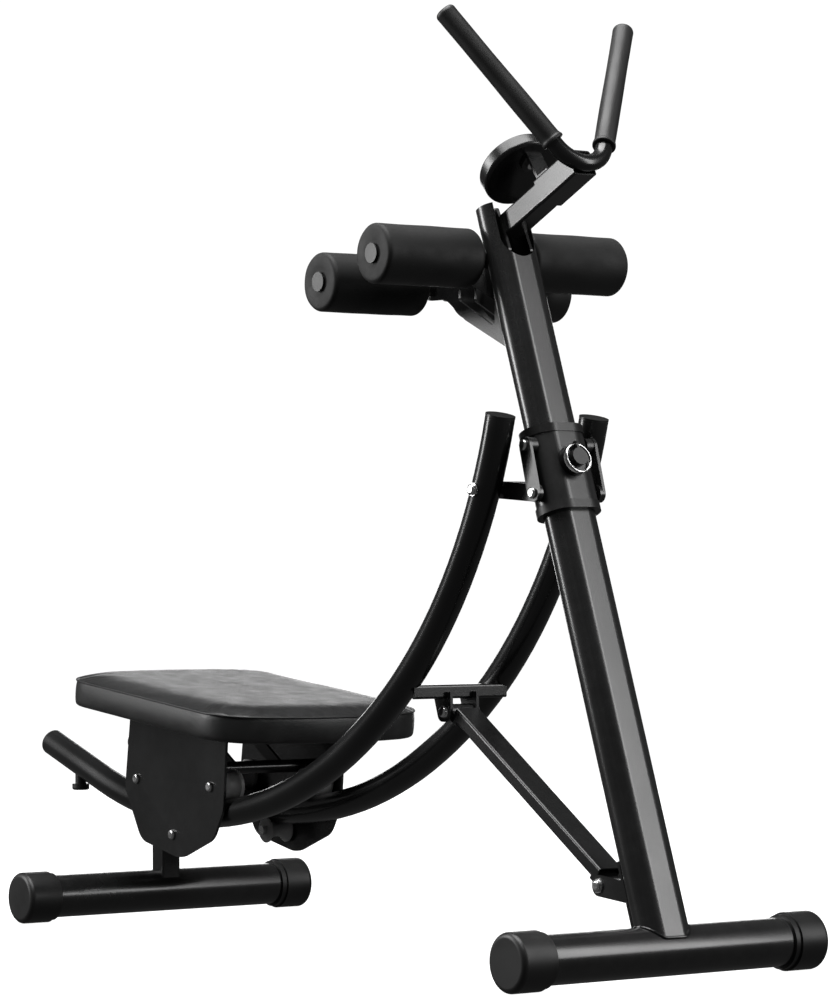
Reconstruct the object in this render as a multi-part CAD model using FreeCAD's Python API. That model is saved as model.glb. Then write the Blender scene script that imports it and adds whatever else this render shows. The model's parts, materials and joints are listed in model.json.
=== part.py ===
import FreeCAD, Part
import math
import os

# Ab crunch machine with a kneeling carriage on curved rails.
# Construction frame, in mm: X forward to the main post, Y to the user's left, Z up,
# origin on the floor under the front stabiliser's axis. The finished set is moved so that
# its origin is at the bottom centre of its bounding box.

V = FreeCAD.Vector

# ---- general fits ----
RUN = 0.06            # radial clearance of a pin or shaft that turns in its own hole
SLIDE = 0.4           # gap of the sleeve's bushes round the post
ROLL = 0.4            # gap between a roller's groove and the rail
AIR = 0.6             # gap between neighbours that move past each other
SHEET = 4.0           # thickness of plates
BOLT_R = 4.0          # M8 bolts
HEAD_R = 7.0
HEAD_H = 4.5
NUT_R = 6.5
NUT_H = 6.0
WASHER_H = 1.6

# ---- stabilisers ----
STAB_R = 30.0
STAB_WALL = 2.5
CAP_R = 36.0
CAP_LEN = 44.0        # wide part of a rubber cap
CAP_NECK_R = 33.5
CAP_NECK_LEN = 8.0
CAP_FACE = 5.0        # rubber beyond the tube's end
FRONT_LEN = 470.0     # over both caps
REAR_LEN = 476.0
REAR_X = -1142.0

# ---- main post: flat oval tube leaning back ----
POST_LEAN = 19.43     # degrees from upright
POST_FOOT_X = 19.8    # where its centre line meets the floor
POST_DEEP = 45.0      # front to back
POST_WIDE = 70.0      # side to side
POST_WALL = 2.5
POST_TOP = 1010.0     # along the post, from the floor
POST_START = 30.0
NOTCH_HALF = 26.0     # half width of the open front at the top
NOTCH_BOTTOM = 935.0

# ---- height sleeve ----
SLEEVE_LOW = 594.0    # bottom of the lower bush, along the post
SLEEVE_HIGH = 706.0
SLEEVE_PROUD = 6.5    # outside of the sleeve beyond the post
SLEEVE_WALL = 3.0
BUSH_PROUD = 8.0
BUSH_BAND = 11.0      # visible height of a bush
BUSH_LIP = 14.0       # length of a bush inside the sleeve
PIN_LEVEL = 655.0     # pull pin, along the post
PIN_R = 5.0
PIN_DEEP = 6.0        # how far the pin reaches past the post's outer face
BOSS_R = 20.0
BOSS_LEN = 8.0
KNOB_R = 11.0
KNOB_LEN = 9.0
RING_R = 18.0
RING_WIRE = 1.6
EYE_RISE = 17.0       # ring's hinge above the pin's axis
LEVEL_STEP = 25.0     # the sleeve locks at its top level or at one of the levels below
LEVELS_BELOW = 2

# ---- links from the sleeve to the rails ----
LINK_TOP = (-199.4, 646.9)
LINK_LOW = (-182.7, 587.4)
LINK_IN = 49.0        # inner face of a link plate
LINK_WIDE = 22.0
LINK_BOSS_R = 10.0

# ---- rails ----
RAIL_R = 19.0
RAIL_WALL = 2.0
RAIL_Y = 73.5
ARC_X = -940.0        # centre of the rails' main arc, and of the carriage's path
ARC_Z = 938.5
ARC_R = 780.0
ARC_BACK = -18.0      # degrees from straight down, forward positive
ARC_FRONT = 39.0
TOP_ARC_R = 677.0
TOP_ARC_END = 74.9
TAIL_LEN = 158.0      # straight stretch behind the main arc
HEAD_TUBE_ANGLE = 66.9
HEAD_TUBE_R = 11.0
ARM_THICK = 4.0
ARM_HIGH = 22.0
SLOT_HALF = 5.0       # half travel of a link's lower bolt in its slotted arm

# ---- rail cross member, strut and its pivots ----
STRUT_TOP = (-412.0, 312.0)
STRUT_LOW = (-95.0, 109.0)
STRUT_WIDE = 36.0
STRUT_HIGH = 18.0
STRUT_WALL = 2.0
STRUT_RISE = 6.0      # tube's centre above the line through its pivots
EYE_TUBE_R = 10.0
EAR_R = 13.0
CROSS_X = -424.0
CROSS_DEEP = 34.0
CROSS_HIGH = 18.0
CROSS_Z = 338.0
FOOT_FLANGE = (80.0, 160.0)   # height range of the lower bracket's flange on the post

# ---- rear post ----
REAR_POST = 30.0
REAR_POST_X = REAR_X + 8.0
REAR_TUBE_R = 11.0
REAR_TUBE_DROP = 6.0
BUMPER_X = -1252.0
BUMPER_NECK_R = 8.0
BUMPER_FOOT_R = 12.5

# ---- carriage ----
PLATE_GAP = 2.0       # between a rail and the carriage plate beside it
AXLE_SPREAD = 7.5     # degrees either side of the carriage's middle
CARRIAGE_ANGLE = -1.1
UP_GROOVE_R = 18.0    # rolling radius of the upper rollers
LOW_GROOVE_R = 10.0
UP_LIP = 4.0          # height of the upper rollers' flanges
LOW_LIP = 8.0
AXLE_R = 4.0
PLATE_IN = RAIL_Y + RAIL_R + PLATE_GAP
UP_OFFSET = RAIL_R + UP_GROOVE_R
LOW_OFFSET = RAIL_R + LOW_GROOVE_R
UP_FLANGE_R = UP_GROOVE_R + UP_LIP
LOW_FLANGE_R = LOW_GROOVE_R + LOW_LIP
ROLLER_HALF = RAIL_R - SLIDE

# ---- knee pad ----
PAD_X = -924.0
PAD_TOP_Z = 331.5
PAD_TILT = 6.3        # front edge lower
PAD_LEN = 476.0
PAD_WIDE = 342.0
PAD_THICK = 45.0
PAD_CORNER = 70.0
PAD_END_R = 500.0     # gentle bow of the front and rear edges
BOARD_THICK = 12.0    # the board lies in a pocket in the pad's underside
BOARD_INSET = 14.0

# ---- foam rollers ----
FOAM_R = 38.0
FOAM_IN = 40.0
FOAM_OUT = 190.0
BAR_R = 11.0
WELD_GAP = 0.9
FOAM_TOP_LEVEL = 953.8        # upper bar, along the post; it lies against the post's back
FOAM_LOW = (-448.7, 860.7)
BRACKET_IN = 11.0     # inner face of the bracket's side plates
BRACKET_T = 3.0

# ---- stem and handlebar ----
STEM_AT = (-217.7, 963.9)
STEM_RISE = 24.4
STEM_OUT = 35.0
STEM_IN = 30.0
STEM_WALL = 2.2
STEM_LEN = 76.0
STUB_BACK = 88.0
BAR_TUBE_R = 11.0
V_FOOT = (-121.0, 954.0)      # where the bar's two straight legs would meet
V_LEAN = 28.0
V_HALF = 28.7
BAR_BEND = 42.0
GRIP_START = 85.0
GRIP_END = 300.0
GRIP_R = 13.5

# ---- monitor ----
POD_FACE = (-284.7, 1006.3)
POD_TILT = 45.0
POD_R = 51.0
POD_THICK = 20.0
BUTTON_R = 6.0
BUTTON_DROP = 33.0
POD_BOLT_UP = 20.0    # bolt above the middle of the monitor's back
POD_BOLT_R = 3.0
STRAP_HALF = 12.0
STRAP_TOP = 34.0
STRAP_FOOT = 24.0

SIDES = (("left", 1.0), ("right", -1.0))


# ---- small helpers ----
def cyl(r, length, base, direction):
    return Part.makeCylinder(r, length, base, direction)


def ring(r_out, r_in, length, base, direction):
    return cyl(r_out, length, base, direction).cut(cyl(r_in, length, base, direction))


def along_y(r, y0, y1, x, z, r_in=0.0):
    base = V(x, min(y0, y1), z)
    length = abs(y1 - y0)
    if r_in:
        return ring(r, r_in, length, base, V(0, 1, 0))
    return cyl(r, length, base, V(0, 1, 0))


def box(x0, x1, y0, y1, z0, z1):
    return Part.makeBox(x1 - x0, y1 - y0, z1 - z0, V(x0, y0, z0))


def turned(shape, point, degrees):
    """Turn about a Y line through (x, z); positive lifts what is in front of it."""
    out = shape.copy()
    out.rotate(V(point[0], 0, point[1]), V(0, -1, 0), degrees)
    return out


def mirrored(shape):
    return shape.mirror(V(0, 0, 0), V(0, 1, 0))


def rounded_face(points, radii, y=0.0):
    """Face in the XZ plane from corner points, each rounded by its own radius."""
    n = len(points)
    starts, ends, mids = [], [], []
    for i in range(n):
        p = V(points[i][0], y, points[i][1])
        a = V(points[i - 1][0], y, points[i - 1][1]) - p
        b = V(points[(i + 1) % n][0], y, points[(i + 1) % n][1]) - p
        half = a.getAngle(b) / 2.0
        a.normalize()
        b.normalize()
        reach = radii[i] / math.tan(half)
        starts.append(p + a * reach)
        ends.append(p + b * reach)
        inward = (a + b)
        inward.normalize()
        mids.append(p + inward * (radii[i] / math.sin(half) - radii[i]))
    edges = []
    for i in range(n):
        if radii[i] > 0:
            edges.append(Part.Arc(starts[i], mids[i], ends[i]).toShape())
        nxt = starts[(i + 1) % n]
        if (nxt - ends[i]).Length > 1e-6:
            edges.append(Part.makeLine(ends[i], nxt))
    return Part.Face(Part.Wire(Part.__sortEdges__(edges)))


def plate(points, radii, y0, y1):
    return rounded_face(points, radii, min(y0, y1)).extrude(V(0, abs(y1 - y0), 0))


def capsule(p, q, r, y0, y1):
    """Flat bar with round ends between two XZ points."""
    length = math.hypot(q[0] - p[0], q[1] - p[1])
    bar = box(0, length, min(y0, y1), max(y0, y1), -r, r)
    bar = bar.fuse(along_y(r, y0, y1, 0, 0))
    bar = bar.fuse(along_y(r, y0, y1, length, 0))
    bar = bar.removeSplitter()
    bar.rotate(V(0, 0, 0), V(0, -1, 0), math.degrees(math.atan2(q[1] - p[1], q[0] - p[0])))
    bar.translate(V(p[0], 0, p[1]))
    return bar


def bar_between(p, q, low, high, y0, y1):
    """Straight bar from XZ point p to q, reaching from low to high beside that line."""
    length = math.hypot(q[0] - p[0], q[1] - p[1])
    bar = box(0, length, min(y0, y1), max(y0, y1), low, high)
    bar.rotate(V(0, 0, 0), V(0, -1, 0), math.degrees(math.atan2(q[1] - p[1], q[0] - p[0])))
    bar.translate(V(p[0], 0, p[1]))
    return bar


def pipe(path, radius, start, direction):
    circle = Part.makeCircle(radius, start, direction)
    return path.makePipeShell([Part.Wire([circle])], True, False)


# ---- the post's own frame: u forward of its centre line, w along it from the floor ----
LEAN = math.radians(POST_LEAN)


def post_point(u, w, y=0.0):
    x = POST_FOOT_X + u * math.cos(LEAN) - w * math.sin(LEAN)
    z = u * math.sin(LEAN) + w * math.cos(LEAN)
    return V(x, y, z)


def to_post(shape):
    """Move a shape built upright about the origin into the post's frame."""
    shape.rotate(V(0, 0, 0), V(0, -1, 0), POST_LEAN)
    shape.translate(V(POST_FOOT_X, 0, 0))
    return shape


def oval(proud, w0, w1):
    """Solid flat oval round the post's centre line, proud of the post's outside."""
    r = POST_DEEP / 2.0 + proud
    flat = (POST_WIDE - POST_DEEP) / 2.0
    body = box(-r, r, -flat, flat, w0, w1)
    for side in (-1, 1):
        body = body.fuse(cyl(r, w1 - w0, V(0, side * flat, w0), V(0, 0, 1)))
    return body.removeSplitter()


def oval_tube(proud_out, proud_in, w0, w1):
    return oval(proud_out, w0, w1).cut(oval(proud_in, w0, w1))


POST_FRONT = V(math.cos(LEAN), 0, math.sin(LEAN))
POST_UP = V(-math.sin(LEAN), 0, math.cos(LEAN))
POST_HALF = POST_DEEP / 2.0
foam_top_at = post_point(-POST_HALF - BAR_R - WELD_GAP, FOAM_TOP_LEVEL)
FOAM_TOP = (foam_top_at.x, foam_top_at.z)


# ---- rails ----
def arc_point(angle, radius=ARC_R):
    a = math.radians(angle)
    return (ARC_X + radius * math.sin(a), ARC_Z - radius * math.cos(a))


def top_arc_centre():
    a = math.radians(ARC_FRONT)
    return (ARC_X + (ARC_R - TOP_ARC_R) * math.sin(a), ARC_Z - (ARC_R - TOP_ARC_R) * math.cos(a))


def top_arc_point(angle, radius=TOP_ARC_R):
    a = math.radians(angle)
    cx, cz = top_arc_centre()
    return (cx + radius * math.sin(a), cz - radius * math.cos(a))


def tail_point(distance, lift=0.0):
    a = math.radians(ARC_BACK)
    x, z = arc_point(ARC_BACK)
    return (x - distance * math.cos(a) - lift * math.sin(a), z - distance * math.sin(a) + lift * math.cos(a))


def vec(p, y=0.0):
    return V(p[0], y, p[1])


def rail_path(y):
    middle = (ARC_BACK + ARC_FRONT) / 2.0
    upper = (ARC_FRONT + TOP_ARC_END) / 2.0
    tail = Part.makeLine(vec(tail_point(TAIL_LEN), y), vec(tail_point(0), y))
    main = Part.Arc(vec(arc_point(ARC_BACK), y), vec(arc_point(middle), y), vec(arc_point(ARC_FRONT), y))
    top = Part.Arc(vec(top_arc_point(ARC_FRONT), y), vec(top_arc_point(upper), y),
                   vec(top_arc_point(TOP_ARC_END), y))
    return Part.Wire([tail, main.toShape(), top.toShape()])


TAIL_DIR = V(math.cos(math.radians(ARC_BACK)), 0, math.sin(math.radians(ARC_BACK)))
TOP_DIR = V(math.cos(math.radians(TOP_ARC_END)), 0, math.sin(math.radians(TOP_ARC_END)))


def rail_solid(y, radius):
    return pipe(rail_path(y), radius, vec(tail_point(TAIL_LEN), y), TAIL_DIR)


def rail_tube(y):
    tube = rail_solid(y, RAIL_R).cut(rail_solid(y, RAIL_R - RAIL_WALL))
    bolt_at = top_arc_point(HEAD_TUBE_ANGLE)
    return tube.cut(along_y(BOLT_R, y - RAIL_R, y + RAIL_R, *bolt_at))


def tail_plug(y):
    """Domed plug in a rail's rear end."""
    end = vec(tail_point(TAIL_LEN), y)
    keep = cyl(RAIL_R, 9.0, end, TAIL_DIR * -1)
    head = keep.common(Part.makeSphere(26.0, end + TAIL_DIR * 17.0))
    stem = cyl(RAIL_R - RAIL_WALL, 16.0, end, TAIL_DIR)
    return head.fuse(stem)


def top_plug(y):
    end = vec(top_arc_point(TOP_ARC_END), y)
    stem = cyl(RAIL_R - RAIL_WALL - 0.5, 12.0, end - TOP_DIR * 12.0, TOP_DIR)
    return stem.fuse(cyl(RAIL_R, 3.0, end, TOP_DIR))


nodes = {}


# ---- stabilisers and caps ----
def stabiliser(x, length):
    half = length / 2.0 - CAP_FACE
    return along_y(STAB_R, -half, half, x, STAB_HEIGHT, STAB_R - STAB_WALL)


def end_cap(x, length, side):
    end = length / 2.0
    inner = end - CAP_LEN
    cup = along_y(CAP_R, side * inner, side * end, x, STAB_HEIGHT)
    outer_rims = [e for e in cup.Edges if e.BoundBox.YLength < 0.1 and abs(e.BoundBox.YMin * side - end) < 0.1]
    cup = cup.makeFillet(7.0, outer_rims)
    cup = cup.fuse(along_y(CAP_NECK_R, side * (inner - CAP_NECK_LEN), side * inner, x, STAB_HEIGHT))
    bore = along_y(STAB_R, side * (inner - CAP_NECK_LEN), side * (end - CAP_FACE), x, STAB_HEIGHT)
    return cup.cut(bore).removeSplitter()


STAB_HEIGHT = CAP_R
FRONT_X = 0.0
nodes["front_stabilizer"] = stabiliser(FRONT_X, FRONT_LEN)
nodes["rear_stabilizer"] = stabiliser(REAR_X, REAR_LEN)
for name, side in SIDES:
    nodes["front_cap_" + name] = end_cap(FRONT_X, FRONT_LEN, side)
    nodes["rear_cap_" + name] = end_cap(REAR_X, REAR_LEN, side)


# ---- main post ----
def make_post():
    tube = oval_tube(0.0, -POST_WALL, POST_START, POST_TOP)
    notch = box(0, POST_DEEP, -NOTCH_HALF, NOTCH_HALF, NOTCH_BOTTOM + NOTCH_HALF, POST_TOP + 1)
    notch = notch.fuse(cyl(NOTCH_HALF, POST_DEEP, V(0, 0, NOTCH_BOTTOM + NOTCH_HALF), V(1, 0, 0)))
    tube = tube.cut(notch)
    slot_low = PIN_LEVEL - LEVELS_BELOW * LEVEL_STEP
    slot_high = PIN_LEVEL
    slot_r = PIN_R + SLIDE
    slot = box(0, POST_DEEP, -slot_r, slot_r, slot_low, slot_high)
    for w in (slot_low, slot_high):
        slot = slot.fuse(cyl(slot_r, POST_DEEP, V(0, 0, w), V(1, 0, 0)))
    tube = to_post(tube.cut(slot))
    tube = tube.cut(along_y(STAB_R, -FRONT_LEN, FRONT_LEN, FRONT_X, STAB_HEIGHT))
    return tube.Solids[0] if len(tube.Solids) == 1 else max(tube.Solids, key=lambda s: s.Volume)


nodes["post"] = make_post()


# ---- height sleeve, bushes, pin and ring ----
def make_sleeve():
    low = SLEEVE_LOW + BUSH_BAND
    high = SLEEVE_HIGH - BUSH_BAND
    body = oval_tube(SLEEVE_PROUD, SLEEVE_PROUD - SLEEVE_WALL, low, high)
    face = POST_HALF + SLEEVE_PROUD
    boss = cyl(BOSS_R, BOSS_LEN + SLEEVE_WALL, V(face - SLEEVE_WALL, 0, PIN_LEVEL), V(1, 0, 0))
    body = body.fuse(boss)
    bore = cyl(PIN_R + RUN, BOSS_LEN + 2 * SLEEVE_WALL, V(face - 2 * SLEEVE_WALL, 0, PIN_LEVEL), V(1, 0, 0))
    body = to_post(body.cut(bore))
    half_wide = POST_WIDE / 2.0 + SLEEVE_PROUD
    for side in (-1, 1):
        body = body.fuse(along_y(LINK_BOSS_R, side * (half_wide - SLEEVE_WALL), side * (LINK_IN - AIR / 2), *LINK_TOP))
    for side in (-1, 1):
        body = body.cut(along_y(BOLT_R + RUN, side * half_wide, side * LINK_IN, *LINK_TOP))
    return body.removeSplitter()


def make_bush(band_low, band_high, lip_low, lip_high):
    band = oval_tube(BUSH_PROUD, SLIDE, band_low, band_high)
    lip = oval_tube(SLEEVE_PROUD - SLEEVE_WALL, SLIDE, lip_low, lip_high)
    return to_post(band.fuse(lip).removeSplitter())


nodes["sleeve"] = make_sleeve()
nodes["sleeve_bush_top"] = make_bush(SLEEVE_HIGH - BUSH_BAND, SLEEVE_HIGH,
                                     SLEEVE_HIGH - BUSH_BAND - BUSH_LIP, SLEEVE_HIGH - BUSH_BAND)
nodes["sleeve_bush_bottom"] = make_bush(SLEEVE_LOW, SLEEVE_LOW + BUSH_BAND,
                                        SLEEVE_LOW + BUSH_BAND, SLEEVE_LOW + BUSH_BAND + BUSH_LIP)

BOSS_FACE = POST_HALF + SLEEVE_PROUD + BOSS_LEN
EYE_U = BOSS_FACE + KNOB_LEN / 2.0


def make_pull_pin():
    tip = POST_HALF - PIN_DEEP
    pin = cyl(PIN_R, BOSS_FACE + KNOB_LEN - tip, V(tip, 0, PIN_LEVEL), V(1, 0, 0))
    pin = pin.makeChamfer(1.0, [e for e in pin.Edges if e.BoundBox.XMax < tip + 0.1])
    knob = cyl(KNOB_R, KNOB_LEN, V(BOSS_FACE, 0, PIN_LEVEL), V(1, 0, 0))
    lug = box(BOSS_FACE, BOSS_FACE + KNOB_LEN, -1.6, 1.6, PIN_LEVEL + KNOB_R - 2, PIN_LEVEL + EYE_RISE)
    lug = lug.fuse(cyl(KNOB_LEN / 2.0, 3.2, V(EYE_U, -1.6, PIN_LEVEL + EYE_RISE), V(0, 1, 0)))
    lug = lug.cut(cyl(RING_WIRE + SLIDE, 3.2, V(EYE_U, -1.6, PIN_LEVEL + EYE_RISE), V(0, 1, 0)))
    return to_post(pin.fuse(knob).fuse(lug).removeSplitter())


def make_ring():
    wire = Part.makeTorus(RING_R, RING_WIRE, V(EYE_U, 0, PIN_LEVEL + EYE_RISE - RING_R), V(1, 0, 0))
    return to_post(wire)


nodes["pull_pin"] = make_pull_pin()
nodes["pull_ring"] = make_ring()


# ---- links ----
def make_link(side):
    y0 = side * LINK_IN
    y1 = side * (LINK_IN + SHEET)
    bar = capsule(LINK_TOP, LINK_LOW, LINK_WIDE / 2.0, y0, y1)
    for p in (LINK_TOP, LINK_LOW):
        bar = bar.cut(along_y(BOLT_R, y0, y1, *p))
    return bar


def domed_head(side, y, p, radius=HEAD_R, height=HEAD_H):
    """Round bolt head whose flat side is at y and whose dome points outwards."""
    head = along_y(radius, y, y + side * height, *p)
    rims = [e for e in head.Edges if e.BoundBox.YLength < 0.1 and abs(e.BoundBox.YMin - (y + side * height)) < 0.1]
    return head.makeFillet(height * 0.6, rims)


def make_link_bolt_top(side):
    start = POST_WIDE / 2.0 + SLEEVE_PROUD + AIR
    outer = LINK_IN + SHEET
    shank = along_y(BOLT_R, side * start, side * outer, *LINK_TOP)
    return shank.fuse(domed_head(side, side * outer, LINK_TOP))


def make_link_bolt_low(side):
    inner = LINK_IN - AIR / 2 - ARM_THICK - AIR
    outer = LINK_IN + SHEET
    shank = along_y(BOLT_R, side * inner, side * outer, *LINK_LOW)
    return shank.fuse(domed_head(side, side * outer, LINK_LOW))


for name, side in SIDES:
    nodes["link_" + name] = make_link(side)
nodes["link_bolts"] = Part.makeCompound([make_link_bolt_top(1), make_link_bolt_top(-1),
                                         make_link_bolt_low(1), make_link_bolt_low(-1)])


# ---- rails, plugs, head tube and arms ----
for name, side in SIDES:
    nodes["rail_" + name] = rail_tube(side * RAIL_Y)
nodes["rail_tail_plugs"] = Part.makeCompound([tail_plug(RAIL_Y), tail_plug(-RAIL_Y)])
nodes["rail_top_plugs"] = Part.makeCompound([top_plug(RAIL_Y), top_plug(-RAIL_Y)])

HEAD_AT = top_arc_point(HEAD_TUBE_ANGLE)
RAILS_FULL = {side: rail_solid(side * RAIL_Y, RAIL_R) for _, side in SIDES}


def make_head_tube():
    tube = along_y(HEAD_TUBE_R, -RAIL_Y, RAIL_Y, HEAD_AT[0], HEAD_AT[1], BOLT_R)
    for side in (-1, 1):
        tube = tube.cut(RAILS_FULL[side])
    return tube


def make_head_bolt(side):
    outer = RAIL_Y + RAIL_R
    washer = along_y(HEAD_R + 1.5, side * (outer - 1.0), side * (outer + WASHER_H), *HEAD_AT)
    washer = washer.cut(RAILS_FULL[side])
    shank = along_y(BOLT_R, side * (RAIL_Y - RAIL_R - 25.0), side * (outer + WASHER_H), *HEAD_AT)
    return washer.fuse(shank).fuse(domed_head(side, side * (outer + WASHER_H), HEAD_AT)).removeSplitter()


def make_arm(side):
    """Arm from the head tube to a link's lower bolt, slotted along the post."""
    y1 = side * (LINK_IN - AIR / 2)
    y0 = side * (LINK_IN - AIR / 2 - ARM_THICK)
    bar = capsule(HEAD_AT, LINK_LOW, ARM_HIGH / 2.0, y0, y1)
    bar = bar.cut(along_y(HEAD_TUBE_R, y0, y1, *HEAD_AT))
    low = (LINK_LOW[0] + POST_UP.x * -SLOT_HALF, LINK_LOW[1] - POST_UP.z * SLOT_HALF)
    high = (LINK_LOW[0] + POST_UP.x * SLOT_HALF, LINK_LOW[1] + POST_UP.z * SLOT_HALF)
    return bar.cut(capsule(low, high, BOLT_R + SLIDE, y0, y1))


nodes["head_tube"] = make_head_tube()
nodes["head_bolts"] = Part.makeCompound([make_head_bolt(1), make_head_bolt(-1)])
nodes["rail_arms"] = Part.makeCompound([make_arm(1), make_arm(-1)])


# ---- cross member with its two ears ----
EAR_IN = STRUT_WIDE / 2.0 + AIR


def make_cross_member():
    body = box(CROSS_X - CROSS_DEEP / 2, CROSS_X + CROSS_DEEP / 2, -RAIL_Y, RAIL_Y,
               CROSS_Z - CROSS_HIGH / 2, CROSS_Z + CROSS_HIGH / 2)
    edges = [e for e in body.Edges if e.BoundBox.YLength > RAIL_Y]
    body = body.makeFillet(3.0, edges)
    hollow = box(CROSS_X - CROSS_DEEP / 2 + SHEET, CROSS_X + CROSS_DEEP / 2 - SHEET, -RAIL_Y, RAIL_Y,
                 CROSS_Z - CROSS_HIGH / 2 - 1, CROSS_Z + CROSS_HIGH / 2 - SHEET)
    body = body.cut(hollow)
    for side in (-1, 1):
        body = body.cut(RAILS_FULL[side])
        top = CROSS_Z
        points = [(CROSS_X - 14, top), (STRUT_TOP[0] - EAR_R, STRUT_TOP[1] - EAR_R),
                  (STRUT_TOP[0] + EAR_R, STRUT_TOP[1] - EAR_R), (CROSS_X + CROSS_DEEP / 2 + 8, top)]
        ear = plate(points, [0, EAR_R * 0.8, EAR_R * 0.8, 0], side * EAR_IN, side * (EAR_IN + SHEET))
        body = body.fuse(ear)
    body = body.removeSplitter()
    return body.cut(along_y(BOLT_R, -RAIL_Y, RAIL_Y, *STRUT_TOP))


nodes["rail_cross_member"] = make_cross_member()


# ---- strut ----
def make_strut():
    dx = STRUT_LOW[0] - STRUT_TOP[0]
    dz = STRUT_LOW[1] - STRUT_TOP[1]
    length = math.hypot(dx, dz)
    half = STRUT_WIDE / 2.0
    end = 14.0
    tube = box(end, length - end, -half, half, STRUT_RISE - STRUT_HIGH / 2, STRUT_RISE + STRUT_HIGH / 2)
    long_edges = [e for e in tube.Edges if e.BoundBox.XLength > length / 2]
    tube = tube.makeFillet(3.0, long_edges)
    hollow = box(end, length - end, -half + STRUT_WALL, half - STRUT_WALL,
                 STRUT_RISE - STRUT_HIGH / 2 + STRUT_WALL, STRUT_RISE + STRUT_HIGH / 2 - STRUT_WALL)
    tube = tube.cut(hollow)
    tabs = (box(0, end + 10, -half, half, -6.0, 6.0), box(length - end - 10, length, -half, half, -6.0, 6.0))
    for x, tab in zip((0, length), tabs):
        tube = tube.fuse(tab).fuse(along_y(EYE_TUBE_R, -half, half, x, 0))
    tube = tube.removeSplitter()
    for x in (0, length):
        tube = tube.cut(along_y(BOLT_R + RUN, -half, half, x, 0))
    tube.rotate(V(0, 0, 0), V(0, -1, 0), math.degrees(math.atan2(dz, dx)))
    tube.translate(vec(STRUT_TOP))
    return tube


def make_pivot_bolt(p):
    """Bolt through two ears with a domed head on the right and a nut on the left."""
    reach = EAR_IN + SHEET
    shank = along_y(BOLT_R, -reach, reach + NUT_H, *p)
    washer_r = HEAD_R + 2.0
    head = along_y(washer_r, -reach - WASHER_H, -reach, *p).fuse(domed_head(-1, -reach - WASHER_H, p))
    nut = along_y(NUT_R, reach, reach + NUT_H, *p)
    return shank.fuse(head).fuse(nut).removeSplitter()


nodes["strut"] = make_strut()
nodes["strut_top_bolt"] = make_pivot_bolt(STRUT_TOP)
nodes["strut_foot_bolt"] = make_pivot_bolt(STRUT_LOW)


def make_foot_bracket():
    w0, w1 = (z / math.cos(LEAN) for z in FOOT_FLANGE)
    flange = to_post(box(-POST_HALF - SHEET, -POST_HALF, -24.0, 24.0, w0 - 12.0, w1 - 12.0))
    body = flange
    hinge_w = STRUT_LOW[1] / math.cos(LEAN)
    near = post_point(-POST_HALF - SHEET / 2, hinge_w + 4.0)
    for side in (-1, 1):
        ear = capsule(STRUT_LOW, (near.x, near.z), EAR_R, side * EAR_IN, side * (EAR_IN + SHEET))
        body = body.fuse(ear)
    body = body.removeSplitter()
    body = body.cut(to_post(oval(0.0, 0.0, 400.0)))
    return body.cut(along_y(BOLT_R, -60, 60, *STRUT_LOW))


nodes["strut_foot_bracket"] = make_foot_bracket()


# ---- rear post, its tube between the rails, and rubber bumpers ----
def rear_tube_at():
    angle = math.degrees(math.asin((REAR_POST_X - ARC_X) / ARC_R))
    x, z = arc_point(angle)
    return (x, z - REAR_TUBE_DROP)


def make_rear_post():
    x, z = rear_tube_at()
    half = REAR_POST / 2.0
    tube = box(x - half, x + half, -half, half, STAB_HEIGHT, z)
    tube = tube.makeFillet(3.0, [e for e in tube.Edges if e.BoundBox.ZLength > 50])
    inner = half - 2.0
    tube = tube.cut(box(x - inner, x + inner, -inner, inner, STAB_HEIGHT, z))
    tube = tube.cut(along_y(STAB_R, -60, 60, REAR_X, STAB_HEIGHT))
    return tube.cut(along_y(REAR_TUBE_R, -60, 60, x, z))


def make_rear_tube():
    x, z = rear_tube_at()
    tube = along_y(REAR_TUBE_R, -RAIL_Y, RAIL_Y, x, z, REAR_TUBE_R - 2.0)
    for side in (-1, 1):
        tube = tube.cut(RAILS_FULL[side])
    return tube


def make_bumper(side):
    distance = (tail_point(0)[0] - BUMPER_X) / math.cos(math.radians(ARC_BACK))
    x, z = tail_point(distance)
    y = side * RAIL_Y
    neck = cyl(BUMPER_NECK_R, 34.0, V(x, y, z - 34.0), V(0, 0, 1))
    foot = cyl(BUMPER_FOOT_R, 9.0, V(x, y, z - 41.0), V(0, 0, 1))
    foot = foot.makeFillet(3.0, [e for e in foot.Edges if e.BoundBox.ZLength < 0.1 and e.BoundBox.ZMax < z - 40])
    return neck.fuse(foot).cut(RAILS_FULL[side]).removeSplitter()


nodes["rear_post"] = make_rear_post()
nodes["rear_tube"] = make_rear_tube()
nodes["rail_bumpers"] = Part.makeCompound([make_bumper(1), make_bumper(-1)])


# ---- carriage ----
AXLES = {
    "front": arc_point(CARRIAGE_ANGLE + AXLE_SPREAD, ARC_R - UP_OFFSET),
    "rear": arc_point(CARRIAGE_ANGLE - AXLE_SPREAD, ARC_R - UP_OFFSET),
    "lower": arc_point(CARRIAGE_ANGLE, ARC_R + LOW_OFFSET),
}


def pad_plane(z_off):
    """Z of the plane z_off below the pad's top, at a given X."""
    slope = math.tan(math.radians(PAD_TILT))
    drop = z_off / math.cos(math.radians(PAD_TILT))
    return lambda x: PAD_TOP_Z - drop - (x - PAD_X) * slope


def to_pad(shape):
    shape.rotate(V(0, 0, 0), V(0, 1, 0), PAD_TILT)
    shape.translate(V(PAD_X, 0, PAD_TOP_Z))
    return shape


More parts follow.
